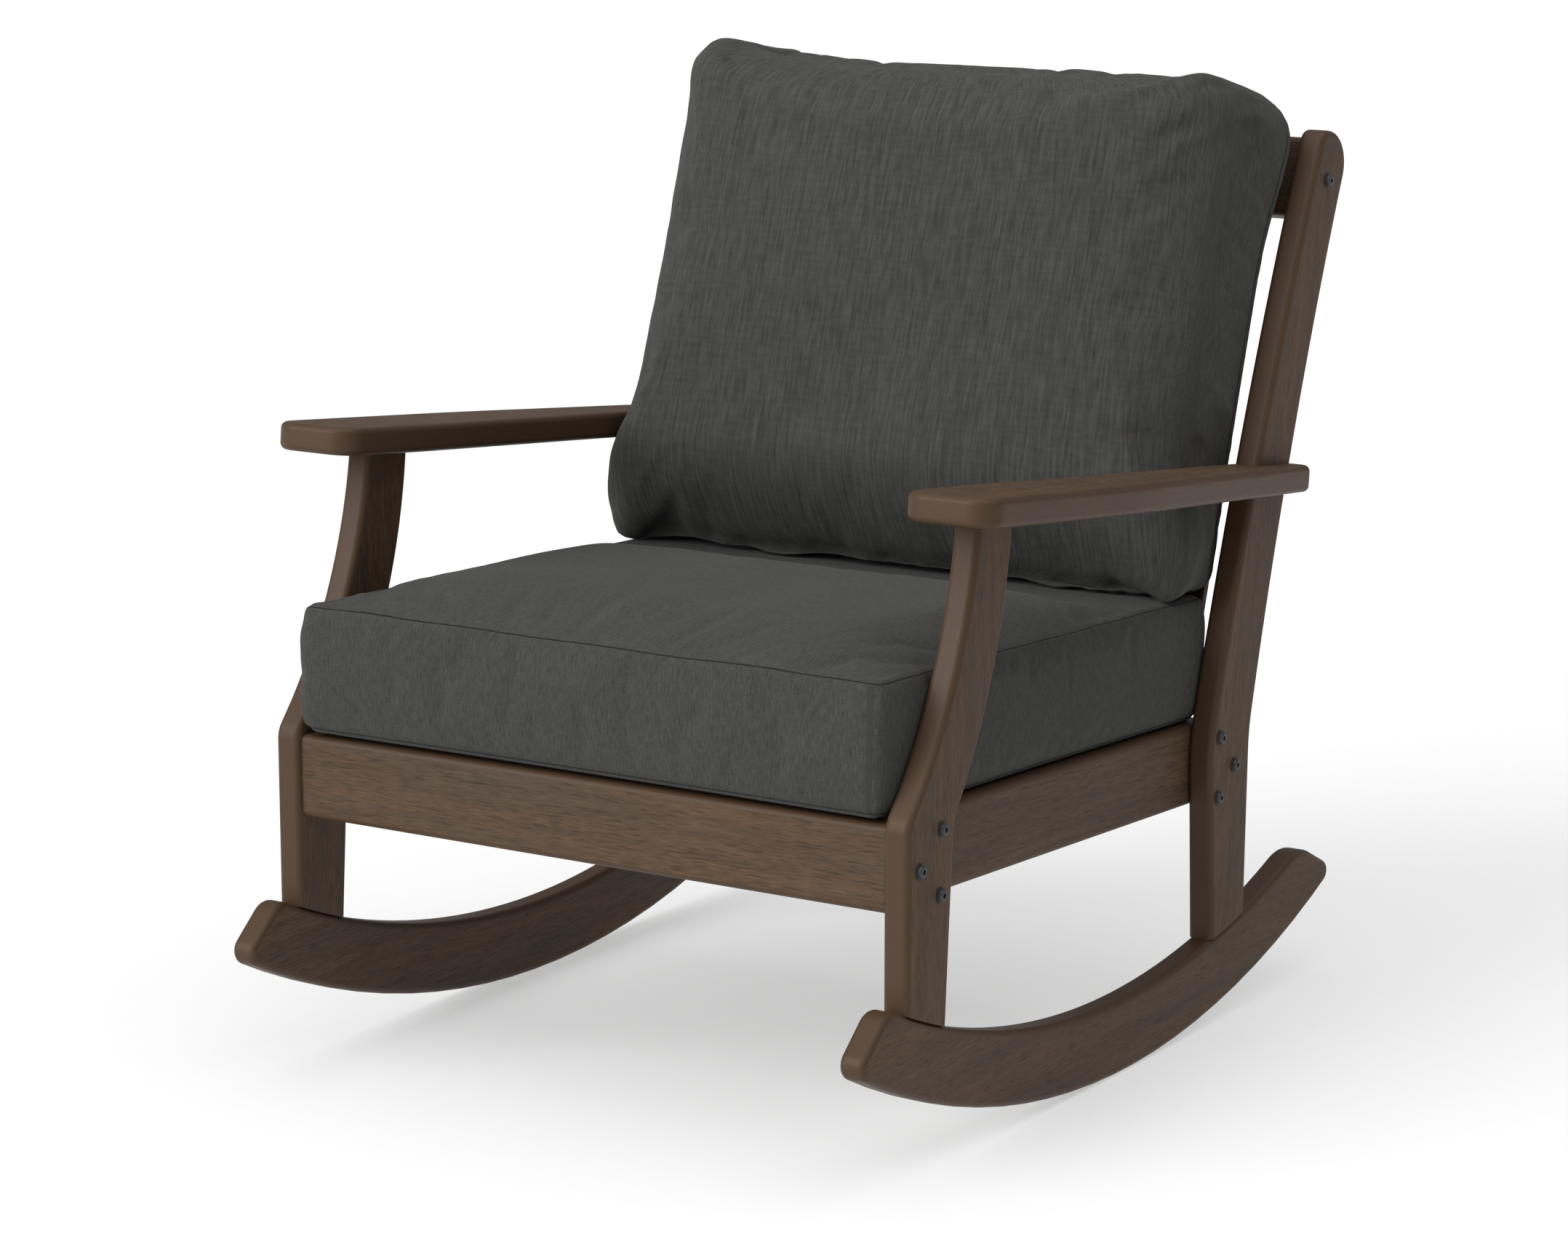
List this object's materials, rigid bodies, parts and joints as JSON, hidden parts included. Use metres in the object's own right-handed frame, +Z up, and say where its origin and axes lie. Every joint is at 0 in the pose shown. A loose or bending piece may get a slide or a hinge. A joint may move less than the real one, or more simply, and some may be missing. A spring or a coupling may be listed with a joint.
{
  "type": "outdoor rocking chair",
  "caption": "Low outdoor rocking armchair: plank legs bolted to rails on two curved rockers, flat arms, slatted seat and back, thick loose seat and back cushions.",
  "frame": {"origin": "on the floor under the middle of the chair, half way between the rocker tips and the back of the rear legs", "axes": "+X to the sitter's left, -Y the way the sitter faces, +Z up"},
  "size_m": [0.7528, 0.8671, 0.872],
  "materials": {
    "frame_board": "matt dark brown recycled-plastic board with an embossed wood grain",
    "dark_fastener": "black-coated steel",
    "steel": "plain zinc-plated steel",
    "cushion_fabric": "charcoal heather outdoor canvas over a soft wrap",
    "foam": "open-cell polyurethane foam"
  },
  "bodies": {
    "frame": {"left_rocker": "frame_board", "right_rocker": "frame_board", "left_front_leg": "frame_board", "right_front_leg": "frame_board", "left_rear_leg": "frame_board", "right_rear_leg": "frame_board", "front_rail": "frame_board", "rear_rail": "frame_board", "left_side_rail": "frame_board", "right_side_rail": "frame_board", "left_seat_cleat": "frame_board", "right_seat_cleat": "frame_board", "seat_slat_1": "frame_board", "seat_slat_2": "frame_board", "seat_slat_3": "frame_board", "seat_slat_4": "frame_board", "seat_slat_5": "frame_board", "seat_slat_6": "frame_board", "top_rail": "frame_board", "back_slat_1": "frame_board", "back_slat_2": "frame_board", "back_slat_3": "frame_board", "back_slat_4": "frame_board", "back_slat_5": "frame_board", "back_slat_6": "frame_board", "back_slat_7": "frame_board", "left_arm": "frame_board", "right_arm": "frame_board", "front_leg_bolts": "dark_fastener", "rear_leg_bolts": "dark_fastener", "top_rail_bolts": "dark_fastener", "bolt_washers": "dark_fastener", "side_rail_nuts": "steel", "barrel_nuts": "steel", "rocker_screws": "steel", "arm_screws": "dark_fastener", "arm_studs": "steel", "cleat_screws": "steel", "seat_slat_screws": "steel", "back_slat_screws": "steel"},
    "seat_cushion": {"seat_cushion_cover": "cushion_fabric", "seat_foam_core": "foam"},
    "back_cushion": {"back_cushion_cover": "cushion_fabric"}
  },
  "joints": [
    {"name": "seat_cushion_slide", "type": "slide", "parent": "frame", "child": "seat_cushion", "axis": [0, -0.9991, 0.0427], "range_m": [0, 0.15]},
    {"name": "back_cushion_lift", "type": "slide", "parent": "frame", "child": "back_cushion", "axis": [0, 0.3035, 0.9528], "range_m": [0, 0.2]}
  ]
}
